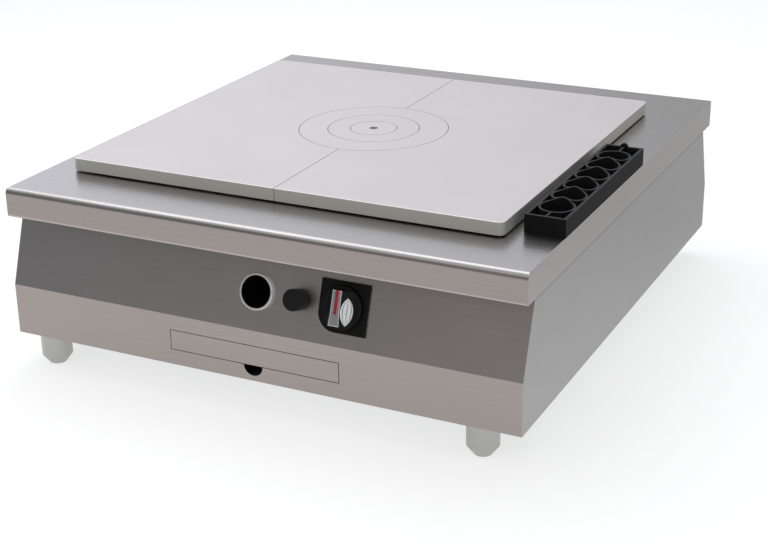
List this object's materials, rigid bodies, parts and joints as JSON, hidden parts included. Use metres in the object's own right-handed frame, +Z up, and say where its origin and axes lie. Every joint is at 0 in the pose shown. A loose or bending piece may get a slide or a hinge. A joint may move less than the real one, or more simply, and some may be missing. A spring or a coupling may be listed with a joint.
{
  "type": "gas solid-top counter range",
  "caption": "Counter-top gas range with a cast solid hot plate, lift-out rings, flue grille, sight hole, igniter button, control knob and drip drawer on adjustable feet.",
  "frame": {"origin": "on the floor, under the middle of the body", "axes": "+X to the right seen from the front, +Y to the back, +Z up"},
  "size_m": [0.85, 0.923, 0.3225],
  "materials": {
    "satin_steel": "satin brushed",
    "fascia_grey": "satin dark grey",
    "galvanised_steel": "plain sheet",
    "ground_iron": "ground flat, light",
    "dark_iron": "as cast, dark",
    "firebox_steel": "heat-tinted sheet",
    "fireclay": "fired clay",
    "mineral_wool": "felted mineral wool",
    "turned_steel": "turned",
    "black_plastic": "semi-gloss black",
    "grey_insert": "satin grey",
    "red_line": "red",
    "bright_inlay": "bright",
    "plated_steel": "plated",
    "igniter_plastic": "moulded",
    "brass": "machined",
    "pipe_steel": "drawn",
    "copper_lead": "copper",
    "lead_sleeve": "silicone sleeve",
    "ceramic": "glazed ceramic"
  },
  "bodies": {
    "unit": {"back_panel": "galvanised_steel", "back_panel_screws": "turned_steel", "base_plate": "galvanised_steel", "burner_body": "dark_iron", "burner_cap": "dark_iron", "burner_legs": "dark_iron", "burner_supply_pipe": "pipe_steel", "chamber_shell": "firebox_steel", "control_fascia": "fascia_grey", "cross_rails": "galvanised_steel", "drawer_runners": "galvanised_steel", "flue_duct": "firebox_steel", "foot_sockets": "galvanised_steel", "gas_inlet_nipple": "brass", "gas_inlet_pipe": "pipe_steel", "hob_frame": "dark_iron", "igniter_body": "igniter_plastic", "igniter_collar": "plated_steel", "igniter_nut": "plated_steel", "ignition_lead": "lead_sleeve", "injector": "brass", "injector_holder": "brass", "insulation_boards": "mineral_wool", "knob_bezel": "black_plastic", "lower_front_panel": "satin_steel", "mixing_tube": "dark_iron", "pilot_burner": "brass", "pilot_tube": "pipe_steel", "plate_left": "ground_iron", "plate_right": "ground_iron", "refractory_bricks": "fireclay", "seam_supports": "dark_iron", "side_panel_left": "satin_steel", "side_panel_right": "satin_steel", "sight_ring": "turned_steel", "sight_tube": "firebox_steel", "spark_electrode": "ceramic", "thermocouple": "copper_lead", "valve_body": "brass", "valve_bracket": "galvanised_steel", "worktop": "satin_steel"},
    "outer_ring": {"outer_ring": "ground_iron"},
    "middle_ring": {"middle_ring": "ground_iron"},
    "centre_lid": {"centre_lid": "ground_iron"},
    "flue_grille": {"flue_grille": "dark_iron"},
    "igniter_button": {"igniter_button": "black_plastic"},
    "valve_plunger": {"valve_plunger": "brass"},
    "knob": {"valve_spindle": "turned_steel", "knob": "black_plastic", "knob_index_plate": "grey_insert", "knob_pointer": "red_line", "knob_scoops": "bright_inlay"},
    "drawer": {"drawer_front": "satin_steel", "drawer_tray": "galvanised_steel"},
    "foot_front_left": {"foot_front_left": "turned_steel"},
    "foot_front_right": {"foot_front_right": "turned_steel"},
    "foot_back_left": {"foot_back_left": "turned_steel"},
    "foot_back_right": {"foot_back_right": "turned_steel"}
  },
  "joints": [
    {"name": "drawer_slide", "type": "slide", "parent": "unit", "child": "drawer", "axis": [0, -1, 0], "range_m": [0, 0.3]},
    {"name": "igniter_push", "type": "slide", "parent": "unit", "child": "igniter_button", "axis": [0, 0.9458, -0.3247], "range_m": [0, 0.0055], "stiffness_N_per_m": 1500, "springref_m": -0.004},
    {"name": "valve_push", "type": "slide", "parent": "unit", "child": "valve_plunger", "axis": [0, 0.9458, -0.3247], "range_m": [0, 0.003], "stiffness_N_per_m": 1500, "springref_m": -0.004},
    {"name": "knob_turn", "type": "hinge", "parent": "valve_plunger", "child": "knob", "pos_m": [0.1456, -0.43136, 0.18809], "axis": [0, -0.9458, 0.3247], "range_deg": [0, 180]},
    {"name": "outer_ring_lift", "type": "slide", "parent": "unit", "child": "outer_ring", "axis": [0, 0, 1], "range_m": [0, 0.08]},
    {"name": "middle_ring_lift", "type": "slide", "parent": "outer_ring", "child": "middle_ring", "axis": [0, 0, 1], "range_m": [0, 0.08]},
    {"name": "centre_lid_lift", "type": "slide", "parent": "middle_ring", "child": "centre_lid", "axis": [0, 0, 1], "range_m": [0, 0.08]},
    {"name": "flue_grille_lift", "type": "slide", "parent": "unit", "child": "flue_grille", "axis": [0, 0, 1], "range_m": [0, 0.06]},
    {"name": "foot_front_left_adjust", "type": "slide", "parent": "unit", "child": "foot_front_left", "axis": [0, 0, -1], "range_m": [0, 0.02]},
    {"name": "foot_front_right_adjust", "type": "slide", "parent": "unit", "child": "foot_front_right", "axis": [0, 0, -1], "range_m": [0, 0.02]},
    {"name": "foot_back_left_adjust", "type": "slide", "parent": "unit", "child": "foot_back_left", "axis": [0, 0, -1], "range_m": [0, 0.02]},
    {"name": "foot_back_right_adjust", "type": "slide", "parent": "unit", "child": "foot_back_right", "axis": [0, 0, -1], "range_m": [0, 0.02]}
  ]
}
